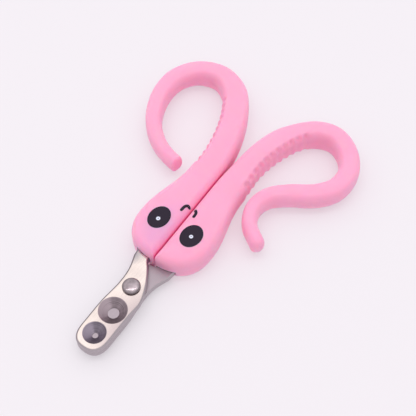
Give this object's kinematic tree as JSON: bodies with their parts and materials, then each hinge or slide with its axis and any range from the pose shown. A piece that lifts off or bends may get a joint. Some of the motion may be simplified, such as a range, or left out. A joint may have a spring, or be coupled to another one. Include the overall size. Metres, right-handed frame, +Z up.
{
  "type": "scissor nail clipper",
  "caption": "Scissor-action pet nail clipper: a countersunk claw plate and a sliding blade joined by a rivet, closed by soft finger-loop handles with grip ribs and printed eyes.",
  "frame": {"origin": "middle of the clipper's footprint, on the surface it lies on", "axes": "+Y along the closed seam from the blade tip towards the finger loops, +Z up out of the claw plate's countersunk face, +X towards the handle with the S-shaped tail"},
  "size_m": [0.0932, 0.133, 0.0116],
  "materials": {
    "handle_plastic": "soft satin moulded pink plastic with a fine texture",
    "polished_steel": "bright polished stainless steel, countersinks turned and darker",
    "ground_steel": "fine ground stainless steel",
    "rivet_steel": "smooth domed rivet",
    "print_black": "black pad-printed ink",
    "print_white": "pale pad-printed ink"
  },
  "bodies": {
    "fixed_half": {"right_handle": "handle_plastic", "lower_blade": "ground_steel", "pivot_rivet": "rivet_steel", "pivot_washer": "rivet_steel"},
    "swinging_half": {"left_handle": "handle_plastic", "upper_blade": "polished_steel"}
  },
  "joints": [
    {"name": "blade_pivot", "type": "hinge", "parent": "fixed_half", "child": "swinging_half", "pos_m": [0.00224, -0.03854, 0.005], "axis": [0, 0, 1], "range_deg": [0, 50]}
  ]
}
